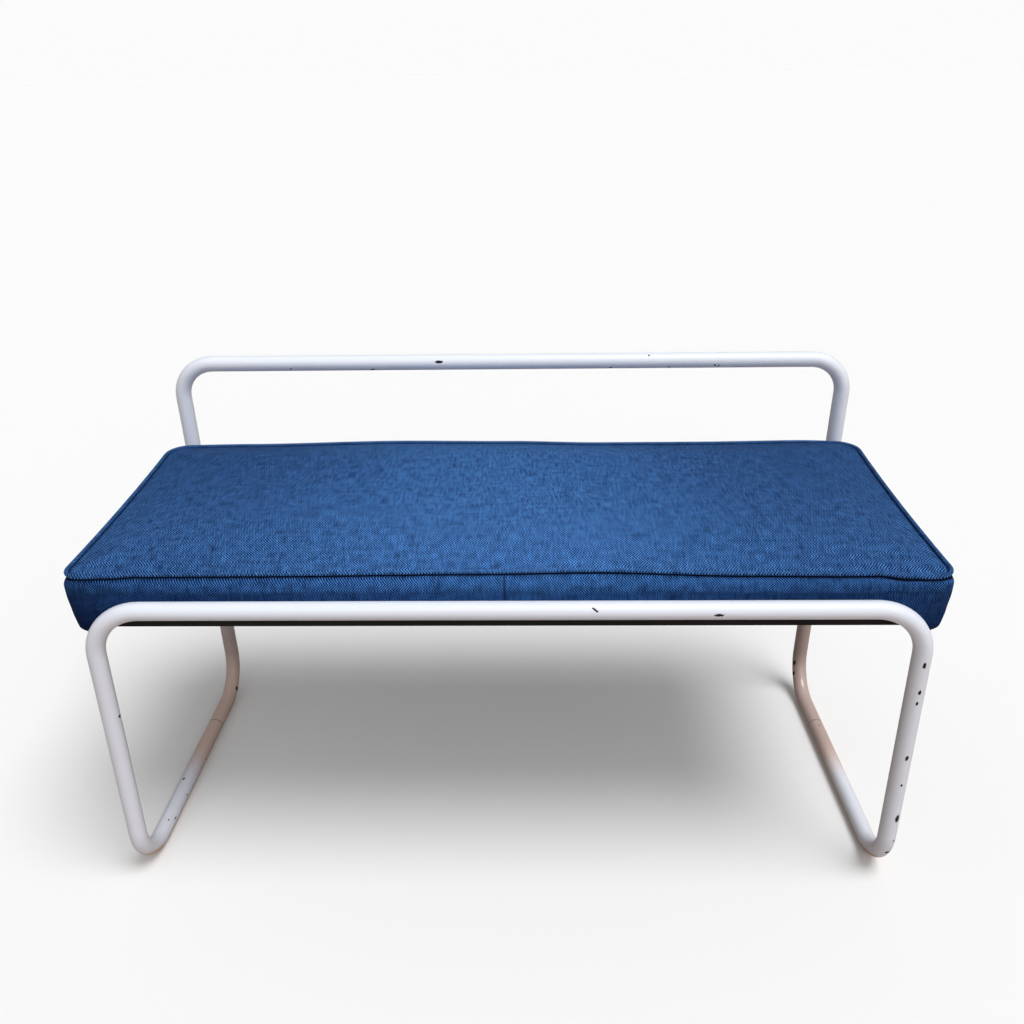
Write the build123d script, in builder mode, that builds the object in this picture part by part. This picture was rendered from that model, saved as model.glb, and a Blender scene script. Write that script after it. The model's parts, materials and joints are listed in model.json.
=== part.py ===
import os
from math import degrees

from build123d import *

os.makedirs("parts", exist_ok=True)

# Steel tube and its bends
tube_diameter = 22
tube_wall = 1.5
front_bend_radius = 60
foot_bend_radius = 60
back_bend_radius = 49

# Frame, measured between the tubes' centre lines
front_rail_width = 955
front_foot_width = 965
rear_foot_width = 949
back_rail_width = 963
frame_depth = 409
front_rail_height = 407
back_rail_height = 572

# Runner joints: each tube half is pushed on a sleeve and held by countersunk screws
sleeve_length = 90
sleeve_bend_gap = 12
sleeve_wall = 2
sleeve_clearance = 0.15
joint_screw_pitch = 44
joint_screw_diameter = 4
joint_screw_head_diameter = 8
joint_screw_head_height = 2
joint_screw_length = 6.5
joint_screw_key = 2.5
joint_screw_key_depth = 1.2
joint_screw_recess = 0.8
joint_screw_clearance = 0.1

# Lugs, welded to the front rail and to the rear cross rail
lug_width = 30
lug_thickness = 4
lug_corner_radius = 6
lug_spacing = 330
lug_weld_depth = 3
lug_weld_setback = 5
front_lug_reach = 42
rear_lug_reach = 36
weld_gap = 0.2
cope_overlap_share = 0.8

# Seat board
board_thickness = 22
board_end_inset = 1.5
board_front_gap = 2.5
board_rear_gap = 2
board_corner_radius = 20
board_edge_chamfer = 1.2
rebate_clearance = 0.5

# Seat fixings
seat_screw_diameter = 6
seat_screw_hole_clearance = 0.2
seat_screw_head_diameter = 11
seat_screw_head_height = 3.5
seat_screw_head_chamfer = 1.3
seat_screw_key = 4
seat_screw_key_depth = 2.2
seat_screw_end_gap = 1
seat_screw_lug_share = 0.35
washer_diameter = 16
washer_thickness = 1.6
tee_nut_flange_diameter = 19
tee_nut_flange_thickness = 1.5
tee_nut_barrel_diameter = 8
tee_nut_barrel_length = 9
tee_nut_clearance = 0.2

# Cushion: the cover's outer face at the top seam, and what hangs over the board's ends
cushion_overhang = 16.5
cushion_front_gap = 2.5
cushion_rear_gap = 1.5
cushion_corner_radius = 26
cushion_end_pull = 4
cushion_long_pull = 3
cushion_board_clearance = 0.3
boxing_height = 46.7
lip_drop = 10
lip_clearance = 1.4
crown_height = 10
cover_thickness = 1.2
layer_gap = 0.3
piping_diameter = 7
piping_gap = 0.2

# The boxing is drawn in towards its lower edge, which is rolled under
boxing_level_shares = (0, 0.07, 0.2, 0.5, 0.75, 1)
boxing_draw_in = 13
boxing_draw_in_shares = (1, 0.56, 0.3, 0.05, -0.06, 0)

# The crown springs up from the seam and flattens towards the middle
crown_level_shares = (0, 0.35, 0.62, 0.84, 0.96, 1)
crown_reach = 100
crown_reach_shares = (0, 0.03, 0.1, 0.3, 0.62, 1)
crown_corner_growth_share = 0.2

# Zip in the rear boxing
zip_length = 560
zip_width = 24
zip_tape_thickness = 0.8
zip_gap = 0.2
slider_width = 9
slider_length = 12
slider_thickness = 3
slider_end_distance = 12
pull_width = 5
pull_length = 22
pull_thickness = 1.2
slider_edge_radius = 1

cut_overrun = 5

# Places worked out from the sizes above
tube_radius = tube_diameter / 2
tube_bore_radius = tube_radius - tube_wall
front_y = -frame_depth / 2
rear_y = frame_depth / 2
joint_y = rear_y - foot_bend_radius - sleeve_bend_gap - sleeve_length / 2
joint_share = (joint_y - front_y) / frame_depth
joint_x = (front_foot_width + (rear_foot_width - front_foot_width) * joint_share) / 2

board_top = front_rail_height - tube_radius + lug_weld_depth
board_bottom = board_top - board_thickness
board_half_length = front_rail_width / 2 + tube_radius - board_end_inset
board_front = front_y + tube_radius + board_front_gap
board_rear = rear_y - tube_radius - board_rear_gap
board_middle = (board_front + board_rear) / 2
cross_rail_height = board_bottom - lug_thickness / 2
lug_places = {"left": -lug_spacing, "centre": 0, "right": lug_spacing}
front_lug_end = board_front + front_lug_reach
rear_lug_end = rear_y - tube_radius - rear_lug_reach
front_screw_y = front_lug_end - front_lug_reach * seat_screw_lug_share
rear_screw_y = rear_lug_end + rear_lug_reach * seat_screw_lug_share
seat_screw_hole_radius = seat_screw_diameter / 2 + seat_screw_hole_clearance

cushion_half_length = board_half_length + cushion_overhang
cushion_front = front_y + tube_radius + cushion_front_gap
cushion_rear = rear_y - tube_radius - cushion_rear_gap - piping_diameter
cushion_middle = (cushion_front + cushion_rear) / 2
cushion_base = board_top + cushion_board_clearance
seam_height = cushion_base + boxing_height
lip_bottom = board_bottom - lip_drop
lip_inside = board_half_length + lip_clearance


def save(sub_part, node):
    sub_part.part.label = node
    export_step(sub_part.part, f"parts/{node}.step")


# A leg leans sideways, so its centre line is found from its foot and its top
def leg_line(foot_width, top_width, y, top_height, side):
    foot = Vector(side * foot_width / 2, y, tube_radius)
    top = Vector(side * top_width / 2, y, top_height)
    return foot, top


# A round bar along a path, laid run by run: straight runs drawn out, bends turned
def round_bar(path, radius, mode=Mode.ADD):
    for run in path.edges():
        with BuildSketch(Plane(origin=run @ 0, z_dir=run % 0)) as section:
            Circle(radius)
        if run.geom_type == GeomType.LINE:
            extrude(section.sketch, amount=run.length, mode=mode)
        else:
            centre = run.arc_center
            bend_axis = Axis(centre, (run @ 0 - centre).cross(run @ 1 - centre))
            bend_angle = degrees(run.length / run.radius)
            revolve(section.sketch, axis=bend_axis, revolution_arc=bend_angle, mode=mode)


# One loop of tube: from one runner joint up over the rail and down to the other joint
def tube_loop(foot_width, rail_width, y, rail_height, rail_bend):
    right = [
        (joint_x, joint_y, tube_radius),
        (foot_width / 2, y, tube_radius),
        (rail_width / 2, y, rail_height),
    ]
    left = [(-x, depth, height) for x, depth, height in reversed(right)]
    bends = [foot_bend_radius, rail_bend, rail_bend, foot_bend_radius]
    with BuildLine() as route:
        FilletPolyline(*right, *left, radius=bends)
    round_bar(route.wire(), tube_radius)
    round_bar(route.wire(), tube_bore_radius, Mode.SUBTRACT)


# Where the joint screws stand: one in each tube half, at both runners
runner_lean = (rear_foot_width - front_foot_width) / 2 / frame_depth
joint_screw_step = joint_screw_pitch / 2
joint_screw_points = [
    (side * (joint_x + runner_lean * step), joint_y + step)
    for side in (-1, 1)
    for step in (-joint_screw_step, joint_screw_step)
]


# The room that each joint screw needs: its hole, its countersink and a way in for a driver
with BuildPart() as joint_screw_room:
    with BuildSketch(Plane.XZ):
        with BuildLine():
            room_radius = joint_screw_head_diameter / 2 + joint_screw_clearance
            room_hole_radius = joint_screw_diameter / 2 + joint_screw_clearance
            Polyline(
                (0, -cut_overrun),
                (room_radius, -cut_overrun),
                (room_radius, joint_screw_recess),
                (room_hole_radius, joint_screw_recess + joint_screw_head_height),
                (room_hole_radius, joint_screw_recess + joint_screw_length),
                (0, joint_screw_recess + joint_screw_length),
                close=True,
            )
        make_face()
    revolve(axis=Axis.Z)


with BuildPart() as front_tube:
    tube_loop(front_foot_width, front_rail_width, front_y, front_rail_height, front_bend_radius)
    with Locations(*joint_screw_points):
        add(joint_screw_room.part, mode=Mode.SUBTRACT)
save(front_tube, "front_tube")

with BuildPart() as rear_tube:
    tube_loop(rear_foot_width, back_rail_width, rear_y, back_rail_height, back_bend_radius)
    with Locations(*joint_screw_points):
        add(joint_screw_room.part, mode=Mode.SUBTRACT)
save(rear_tube, "rear_tube")


def joint_sleeve(side):
    along = Vector(side * runner_lean, 1, 0)
    with BuildPart() as sleeve:
        with BuildSketch(Plane(origin=(side * joint_x, joint_y, tube_radius), z_dir=along)):
            Circle(tube_bore_radius - sleeve_clearance)
            Circle(tube_bore_radius - sleeve_clearance - sleeve_wall, mode=Mode.SUBTRACT)
        extrude(amount=sleeve_length / 2, both=True)
        with Locations(*joint_screw_points):
            add(joint_screw_room.part, mode=Mode.SUBTRACT)
    return sleeve


save(joint_sleeve(-1), "joint_sleeve_left")
save(joint_sleeve(1), "joint_sleeve_right")

with BuildPart() as joint_screws:
    standing = (Align.CENTER, Align.CENTER, Align.MIN)
    with Locations(*[(x, y, joint_screw_recess) for x, y in joint_screw_points]):
        Cone(
            joint_screw_head_diameter / 2,
            joint_screw_diameter / 2,
            joint_screw_head_height,
            align=standing,
        )
        Cylinder(joint_screw_diameter / 2, joint_screw_length, align=standing)
    with BuildSketch(Plane.XY.offset(joint_screw_recess)):
        with Locations(*joint_screw_points):
            RegularPolygon(joint_screw_key / 2, 6)
    extrude(amount=joint_screw_key_depth, mode=Mode.SUBTRACT)
save(joint_screws, "joint_screws")

# The cross rail's ends are coped to sit against the leaning rear legs
with BuildPart() as rear_cross_rail:
    with BuildSketch(Plane.YZ):
        with Locations((rear_y, cross_rail_height)):
            Circle(tube_radius)
            Circle(tube_bore_radius, mode=Mode.SUBTRACT)
    leg_rise_share = (cross_rail_height - tube_radius) / (back_rail_height - tube_radius)
    leg_half_width = (rear_foot_width + (back_rail_width - rear_foot_width) * leg_rise_share) / 2
    extrude(amount=leg_half_width, both=True)
    for side in (-1, 1):
        foot, top = leg_line(rear_foot_width, back_rail_width, rear_y, back_rail_height, side)
        with BuildSketch(Plane(origin=foot, z_dir=top - foot)):
            Circle(tube_radius + weld_gap)
        extrude(amount=(top - foot).length, mode=Mode.SUBTRACT)
save(rear_cross_rail, "rear_cross_rail")


# A flat lug from y_root, at its tube, to y_end: round at its free corners, coped to the tube
def seat_lug(x, y_root, y_end, bottom, screw_y, rail_y, rail_height):
    with BuildPart() as lug:
        with BuildSketch(Plane.XY.offset(bottom)):
            with Locations((x, (y_root + y_end) / 2)):
                Rectangle(lug_width, abs(y_end - y_root))
            ends = vertices().group_by(Axis.Y)[-1 if y_end > y_root else 0]
            fillet(ends, lug_corner_radius)
            with Locations((x, screw_y)):
                Circle(seat_screw_hole_radius, mode=Mode.SUBTRACT)
        extrude(amount=lug_thickness)
        with BuildSketch(Plane.YZ.offset(x)):
            with Locations((rail_y, rail_height)):
                Circle(tube_radius + weld_gap)
        extrude(amount=lug_width, both=True, mode=Mode.SUBTRACT)
    return lug


for place, x in lug_places.items():
    front_lug = seat_lug(
        x,
        front_y + lug_weld_setback,
        front_lug_end,
        board_top - lug_thickness,
        front_screw_y,
        front_y,
        front_rail_height,
    )
    save(front_lug, f"front_lug_{place}")
    rear_lug = seat_lug(
        x,
        rear_y - tube_radius * cope_overlap_share,
        rear_lug_end,
        board_bottom - lug_thickness,
        rear_screw_y,
        rear_y,
        cross_rail_height,
    )
    save(rear_lug, f"rear_lug_{place}")

# The board hangs from the front lugs, let in flush at its top, and lies on the rear lugs
front_screw_points = [(x, front_screw_y) for x in lug_places.values()]
rear_screw_points = [(x, rear_screw_y) for x in lug_places.values()]

with BuildPart() as seat_board:
    with BuildSketch(Plane.XY.offset(board_bottom)):
        with Locations((0, board_middle)):
            RectangleRounded(2 * board_half_length, board_rear - board_front, board_corner_radius)
        with Locations(*front_screw_points, *rear_screw_points):
            Circle(seat_screw_hole_radius, mode=Mode.SUBTRACT)
    extrude(amount=board_thickness)
    outer_edges = faces().sort_by(Axis.Z)[0].outer_wire().edges()
    outer_edges += faces().sort_by(Axis.Z)[-1].outer_wire().edges()
    chamfer(outer_edges, board_edge_chamfer)
    with BuildSketch(Plane.XY.offset(board_top)):
        rebate_back = front_lug_end + rebate_clearance
        rebate_front = board_front - cut_overrun
        with Locations(*[(x, (rebate_front + rebate_back) / 2) for x in lug_places.values()]):
            RectangleRounded(
                lug_width + 2 * rebate_clearance,
                rebate_back - rebate_front,
                lug_corner_radius,
            )
    extrude(amount=-lug_thickness, mode=Mode.SUBTRACT)
    with BuildSketch(Plane.XY.offset(board_top)):
        with Locations(*rear_screw_points):
            Circle(tee_nut_flange_diameter / 2 + tee_nut_clearance)
    extrude(amount=-tee_nut_flange_thickness, mode=Mode.SUBTRACT)
    with BuildSketch(Plane.XY.offset(board_top)):
        with Locations(*rear_screw_points):
            Circle(tee_nut_barrel_diameter / 2 + tee_nut_clearance)
    tee_nut_height = tee_nut_flange_thickness + tee_nut_barrel_length
    extrude(amount=-tee_nut_height, mode=Mode.SUBTRACT)
save(seat_board, "seat_board")

with BuildPart() as tee_nuts:
    with BuildSketch(Plane.XY.offset(board_top)):
        with Locations(*rear_screw_points):
            Circle(tee_nut_flange_diameter / 2)
    extrude(amount=-tee_nut_flange_thickness)
    with BuildSketch(Plane.XY.offset(board_top)):
        with Locations(*rear_screw_points):
            Circle(tee_nut_barrel_diameter / 2)
    extrude(amount=-tee_nut_height)
    with BuildSketch(Plane.XY.offset(board_top)):
        with Locations(*rear_screw_points):
            Circle(seat_screw_hole_radius)
    extrude(amount=-tee_nut_height, mode=Mode.SUBTRACT)
save(tee_nuts, "tee_nuts")


# A row of washers with their tops at one height
def washer_row(points, top):
    with BuildSketch(Plane.XY.offset(top)) as washers:
        with Locations(*points):
            Circle(washer_diameter / 2)
            Circle(seat_screw_hole_radius, mode=Mode.SUBTRACT)
    extrude(washers.sketch, amount=-washer_thickness)


with BuildPart() as seat_washers:
    washer_row(front_screw_points, board_bottom)
    washer_row(rear_screw_points, board_bottom - lug_thickness)
save(seat_washers, "seat_washers")


# Button-head screws driven from below: the head lies against the washer
def seat_screw_row(points, seat):
    head_top = seat - washer_thickness
    with BuildPart() as row:
        with BuildSketch(Plane.XY.offset(head_top)):
            with Locations(*points):
                Circle(seat_screw_head_diameter / 2)
        extrude(amount=-seat_screw_head_height)
        chamfer(edges().group_by(Axis.Z)[0], seat_screw_head_chamfer)
        with BuildSketch(Plane.XY.offset(head_top - seat_screw_head_height)):
            with Locations(*points):
                RegularPolygon(seat_screw_key / 2, 6)
        extrude(amount=seat_screw_key_depth, mode=Mode.SUBTRACT)
        with BuildSketch(Plane.XY.offset(head_top)):
            with Locations(*points):
                Circle(seat_screw_diameter / 2)
        extrude(amount=board_top - seat_screw_end_gap - head_top)
    return row


save(seat_screw_row(front_screw_points, board_bottom), "front_seat_screws")
save(seat_screw_row(rear_screw_points, board_bottom - lug_thickness), "rear_seat_screws")


def cushion_plan(inset, corner_radius):
    half_length = cushion_half_length - inset
    front = cushion_front + inset
    rear = cushion_rear - inset
    end_waist = half_length - cushion_end_pull
    with BuildLine() as outline:
        ThreePointArc((half_length, front), (end_waist, cushion_middle), (half_length, rear))
        ThreePointArc((half_length, rear), (0, rear - cushion_long_pull), (-half_length, rear))
        ThreePointArc((-half_length, rear), (-end_waist, cushion_middle), (-half_length, front))
        ThreePointArc((-half_length, front), (0, front + cushion_long_pull), (half_length, front))
    make_face(outline.edges())
    fillet(vertices(), corner_radius)


# The cushion from its lower edge to the seam, as it is at a depth of one skin inside the cover
def cushion_body(skin, mode=Mode.ADD):
    bottom = lip_bottom + skin
    levels = []
    for level_share, draw_in_share in zip(boxing_level_shares, boxing_draw_in_shares):
        height = bottom + (seam_height - bottom) * level_share
        with BuildSketch(Plane.XY.offset(height)) as level:
            cushion_plan(boxing_draw_in * draw_in_share + skin, cushion_corner_radius - skin)
        levels.append(level.sketch.face())
    loft(sections=levels, ruled=True, mode=mode)


# The cushion from the seam to the top of its crown
def cushion_crown(skin, mode=Mode.ADD):
    levels = []
    for level_share, reach_share in zip(crown_level_shares, crown_reach_shares):
        reach = crown_reach * reach_share
        corner_radius = cushion_corner_radius - skin + reach * crown_corner_growth_share
        height = seam_height + (crown_height - skin) * level_share
        with BuildSketch(Plane.XY.offset(height)) as level:
            cushion_plan(reach + skin, corner_radius)
        levels.append(level.sketch.face())
    loft(sections=levels, ruled=True, mode=mode)


# The room between the cushion's two lips, which the board's ends go into
def board_room(side_gap, top_gap, mode):
    with BuildSketch(Plane.XY.offset(cushion_base + top_gap)) as room:
        Rectangle(2 * (lip_inside + side_gap), 2 * frame_depth)
    extrude(room.sketch, amount=-(cushion_base - lip_bottom + cut_overrun), mode=mode)


with BuildPart() as cover_top_panel:
    cushion_crown(0)
    cushion_crown(cover_thickness, Mode.SUBTRACT)
save(cover_top_panel, "cover_top_panel")

with BuildPart() as cover_boxing:
    cushion_body(0)
    cushion_body(cover_thickness, Mode.SUBTRACT)
    board_room(cover_thickness + layer_gap, 0, Mode.SUBTRACT)
save(cover_boxing, "cover_boxing")

with BuildPart() as cover_base_panel:
    cushion_body(cover_thickness + layer_gap)
    board_room(cover_thickness, cover_thickness, Mode.INTERSECT)
    board_room(0, 0, Mode.SUBTRACT)
save(cover_base_panel, "cover_base_panel")

foam_skin = cover_thickness + layer_gap
with BuildPart() as cushion_foam:
    cushion_body(foam_skin)
    cushion_crown(foam_skin)
    board_room(foam_skin, foam_skin, Mode.SUBTRACT)
save(cushion_foam, "cushion_foam")

piping_offset = piping_diameter / 2 + piping_gap
with BuildSketch(Plane.XY.offset(seam_height)) as piping_plan:
    cushion_plan(-piping_offset, cushion_corner_radius + piping_offset)
piping_path = piping_plan.sketch.face().outer_wire()

with BuildPart() as cover_piping:
    with BuildSketch(Plane(origin=piping_path @ 0, z_dir=piping_path % 0)) as cord:
        Circle(piping_diameter / 2)
    sweep(sections=cord.sketch.face(), path=piping_path)
save(cover_piping, "cover_piping")

# The zip lies on the rear boxing, at the level where the boxing stands out most
zip_share = boxing_level_shares[-2]
zip_height = lip_bottom + (seam_height - lip_bottom) * zip_share
zip_face = cushion_rear - boxing_draw_in * boxing_draw_in_shares[-2] + zip_gap + zip_tape_thickness

with BuildPart() as zip_tape:
    cushion_body(-zip_gap - zip_tape_thickness)
    cushion_body(-zip_gap, Mode.SUBTRACT)
    with BuildSketch(Plane.XZ.offset(-cushion_middle)):
        with Locations((0, zip_height)):
            RectangleRounded(zip_length, zip_width, slider_edge_radius)
    extrude(amount=-frame_depth, mode=Mode.INTERSECT)
save(zip_tape, "zip_tape")

with BuildPart() as zip_slider:
    slider_x = zip_length / 2 - slider_end_distance
    bow = cushion_long_pull * (cushion_half_length**2 - slider_x**2) / cushion_half_length**2
    slider_y = zip_face - bow + zip_gap
    with BuildSketch(Plane.XZ.offset(-slider_y)):
        with Locations((slider_x, zip_height)):
            RectangleRounded(slider_length, slider_width, slider_edge_radius)
    extrude(amount=-slider_thickness)
    with BuildSketch(Plane.XZ.offset(-slider_y - slider_thickness + pull_thickness)):
        with Locations((slider_x, zip_height - pull_length / 2)):
            RectangleRounded(pull_width, pull_length, slider_edge_radius)
    extrude(amount=-pull_thickness)
save(zip_slider, "zip_slider")
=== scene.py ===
import json
import math

import bmesh
import bpy
from mathutils import Matrix, Vector
from mathutils.bvhtree import BVHTree


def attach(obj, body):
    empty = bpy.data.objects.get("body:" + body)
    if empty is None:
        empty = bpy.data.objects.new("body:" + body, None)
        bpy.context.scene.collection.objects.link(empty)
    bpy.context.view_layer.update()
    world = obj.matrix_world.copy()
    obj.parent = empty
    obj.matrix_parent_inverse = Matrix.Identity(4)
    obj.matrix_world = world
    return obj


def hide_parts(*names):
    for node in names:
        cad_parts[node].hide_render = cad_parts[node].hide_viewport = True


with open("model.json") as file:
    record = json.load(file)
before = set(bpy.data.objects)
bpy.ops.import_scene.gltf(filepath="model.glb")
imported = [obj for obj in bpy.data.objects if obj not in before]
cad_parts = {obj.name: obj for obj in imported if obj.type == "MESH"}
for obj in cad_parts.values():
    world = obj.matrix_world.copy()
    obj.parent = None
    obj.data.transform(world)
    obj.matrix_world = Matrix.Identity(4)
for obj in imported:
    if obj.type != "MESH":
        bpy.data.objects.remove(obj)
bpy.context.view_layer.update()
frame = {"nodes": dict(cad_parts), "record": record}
print("frame loaded")


# Shader maths: a socket that can stand in a sum, and a maker for every other node
class Wire:
    def __init__(self, maker, socket):
        self.maker = maker
        self.socket = socket

    def math(self, operation, *values):
        return self.maker.node("ShaderNodeMath", {"operation": operation}, dict(enumerate(values)))

    def __add__(self, other):
        return self.math("ADD", self, other)

    def __radd__(self, other):
        return self.math("ADD", other, self)

    def __sub__(self, other):
        return self.math("SUBTRACT", self, other)

    def __rsub__(self, other):
        return self.math("SUBTRACT", other, self)

    def __mul__(self, other):
        return self.math("MULTIPLY", self, other)

    def __rmul__(self, other):
        return self.math("MULTIPLY", other, self)

    def __truediv__(self, other):
        return self.math("DIVIDE", self, other)

    def __rtruediv__(self, other):
        return self.math("DIVIDE", other, self)


class Finish:
    def __init__(self, name, owner=None):
        self.owner = owner or bpy.data.materials.new(name)  # the world has its own
        self.owner.use_nodes = True
        self.tree = self.owner.node_tree
        self.tree.nodes.clear()

    def node(self, kind, settings=None, inputs=None, output=0):
        node = self.tree.nodes.new(kind)
        for key, value in (settings or {}).items():
            setattr(node, key, value)
        for key, value in (inputs or {}).items():
            if isinstance(value, Wire):
                self.tree.links.new(value.socket, node.inputs[key])
            else:
                node.inputs[key].default_value = value
        return Wire(self, node.outputs[output]) if node.outputs else None

    def where(self, output="Object"):
        return self.node("ShaderNodeTexCoord", output=output)

    def split(self, vector):
        separate = self.node("ShaderNodeSeparateXYZ", inputs={0: vector})
        outputs = separate.socket.node.outputs
        return [Wire(self, outputs[i]) for i in range(3)]

    def join(self, *parts):
        return self.node("ShaderNodeCombineXYZ", inputs=dict(enumerate(parts)))

    def vector(self, operation, *values, output=0):
        settings = {"operation": operation}
        return self.node("ShaderNodeVectorMath", settings, dict(enumerate(values)), output)

    def noise(self, vector, scale, detail=2.0, roughness=0.5):
        values = {"Vector": vector, "Scale": scale, "Detail": detail, "Roughness": roughness}
        return self.node("ShaderNodeTexNoise", inputs=values)

    def step(self, value, low, high):
        values = {"Value": value, "From Min": low, "From Max": high}
        settings = {"interpolation_type": "SMOOTHSTEP"}
        return self.node("ShaderNodeMapRange", settings, values)

    def mix(self, share, first, second):
        values = {0: share, 6: first, 7: second}
        return self.node("ShaderNodeMix", {"data_type": "RGBA"}, values, output=2)

    def bump(self, height, strength, distance):
        values = {"Height": height, "Strength": strength, "Distance": distance}
        return self.node("ShaderNodeBump", inputs=values)

    def surface(self, **values):
        inputs = {key.replace("_", " "): value for key, value in values.items()}
        shader = self.node("ShaderNodeBsdfPrincipled", inputs=inputs)
        self.node("ShaderNodeOutputMaterial", inputs={"Surface": shader})
        return self.owner


def colour(red, green, blue):
    return (red, green, blue, 1)


# Camera: the photograph's own, found from the frame's tubes
cameraSettings = {
    "place": (0.03243, -1.12171, 0.98013),
    "pitch": 26.086,
    "yaw": -1.400,
    "roll": -0.875,
    "focalPixels": 951.8,
    "framePixels": 1024,
    "sensor": 36,
}


def makeCamera():
    s = cameraSettings
    data = bpy.data.cameras.new("camera")
    data.sensor_width = s["sensor"]
    data.lens = s["focalPixels"] / s["framePixels"] * s["sensor"]
    camera = bpy.data.objects.new("camera", data)
    bpy.context.scene.collection.objects.link(camera)
    turn = Matrix.Rotation(math.radians(-s["yaw"]), 4, "Z")
    tilt = Matrix.Rotation(math.radians(90 - s["pitch"]), 4, "X")
    lean = Matrix.Rotation(math.radians(s["roll"]), 4, "Z")
    camera.matrix_world = Matrix.Translation(s["place"]) @ turn @ tilt @ lean
    bpy.context.scene.camera = camera


makeCamera()

# Floor, light and background
stageSettings = {
    "floorHalf": 40,
    "floorShade": 0.93,
    "floorRoughness": 0.95,
    "bounceShade": (0.42, 0.35, 0.31),
    "glow": 0.05,
    "worldLow": 0.15,
    "worldHigh": 0.28,
    "skyTop": 0.7,
    "background": 0.965,
    "lampHeight": 3,
    "lamps": {
        "over": {"aim": (-0.32, 0.24, -1), "angle": 30, "strength": 1.95},
        "front": {"aim": (-0.26, 0.70, -0.62), "angle": 60, "strength": 1.0},
    },
}


def makeFloor():
    s = stageSettings
    bm = bmesh.new()
    bmesh.ops.create_grid(bm, x_segments=1, y_segments=1, size=s["floorHalf"])
    mesh = bpy.data.meshes.new("floor")
    bm.to_mesh(mesh)
    bm.free()
    floor = bpy.data.objects.new("floor", mesh)
    bpy.context.scene.collection.objects.link(floor)
    paint = Finish("floor")
    seenByCamera = paint.node("ShaderNodeLightPath", output="Is Camera Ray")
    seenShade = colour(*[s["floorShade"] * (1 - s["glow"])] * 3)
    shade = paint.mix(seenByCamera, colour(*s["bounceShade"]), seenShade)
    glow = paint.mix(seenByCamera, colour(0, 0, 0), colour(*[s["background"] * s["glow"]] * 3))
    mesh.materials.append(paint.surface(Base_Color=shade, Roughness=s["floorRoughness"],
                                        Specular_IOR_Level=0.0, Emission_Color=glow,
                                        Emission_Strength=1.0))


# The light comes from a sky that is brightest overhead, and the camera sees plain white
def makeWorld():
    s = stageSettings
    world = bpy.data.worlds.new("world")
    bpy.context.scene.world = world
    sky = Finish("world", world)
    height = sky.split(sky.where("Generated"))[2]
    overhead = sky.step(height, 0.0, s["skyTop"])
    strength = overhead * (s["worldHigh"] - s["worldLow"]) + s["worldLow"]
    seenByCamera = sky.node("ShaderNodeLightPath", output="Is Camera Ray")
    lit = sky.node("ShaderNodeBackground", inputs={"Color": colour(1, 1, 1), "Strength": strength})
    seen = sky.node("ShaderNodeBackground", inputs={"Strength": s["background"],
                                                    "Color": colour(1, 1, 1)})
    mixed = sky.node("ShaderNodeMixShader", inputs={0: seenByCamera, 1: lit, 2: seen})
    sky.node("ShaderNodeOutputWorld", inputs={"Surface": mixed})


def makeLamps():
    for name, lamp in stageSettings["lamps"].items():
        data = bpy.data.lights.new(name, "SUN")
        data.angle = math.radians(lamp["angle"])
        data.energy = lamp["strength"]
        light = bpy.data.objects.new(name, data)
        bpy.context.scene.collection.objects.link(light)
        light.rotation_euler = Vector(lamp["aim"]).to_track_quat("-Z", "Y").to_euler()
        light.location.z = stageSettings["lampHeight"]


makeFloor()
makeWorld()
makeLamps()
bpy.context.scene.view_settings.view_transform = "Standard"
print("camera, floor and light made")

# White powder coat, chipped to the black undercoat in the places the photograph shows.
# In all the finishes, a pair of numbers is where a change starts and where it is full
coatSettings = {
    "coat": (0.81, 0.84, 0.93),
    # the back rail's lighter tone is painted light
    "back": (0.85, 0.895, 0.985),
    "backFrom": (0.30, 0.46),
    "backBlur": 0.1,
    "cloudScale": 6,
    "runnerHeight": (0.03, 0.16),
    # a painted warm reflection on the rear of the runners
    "warmReflection": (0.76, 0.49, 0.36),
    "warmFrom": (-0.05, 0.03),
    "warmBlur": 0.05,
    "warmShare": 0.75,
    # painted shade on the rear legs and the right runner
    "shaded": (0.40, 0.31, 0.29),
    "shadedLeft": 0.65,
    "shadedRightMore": 0.2,
    "shadedRunner": 0.65,
    "rightFrom": (0.0, 0.1),
    "rearLegFrom": (0.06, 0.13),
    "rearLegTop": (0.37, 0.40),
    "rearLegFoot": (0.02, 0.10),
    "rightRunnerFrom": (-0.03, 0.05),
    # scuff tinted with a painted warm floor reflection
    "scuffAndReflection": (0.74, 0.47, 0.31),
    "scuffEdge": (0.0045, 0.0125),
    "scuffBlur": 0.004,
    "scuffShare": 0.9,
    "footScuff": 0.020,
    "footFrom": (0.15, 0.205),
    "jointPlace": 0.0875,
    "jointHalf": 0.0006,
    "jointShare": 0.8,
    "undercoat": (0.002, 0.002, 0.003),
    "chipEdge": (0.85, 1.1),
    "chipRoughness": 0.5,
    "ragScale": 800,
    "ragShare": 0.8,
    "roughness": 0.32,
    "gloss": 0.25,
    "glossRoughness": 0.12,
    "orangePeelScale": 260,
    "orangePeelDepth": 0.00012,
    "orangePeelShare": 0.15,
    "relief": 0.5,
}
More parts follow.
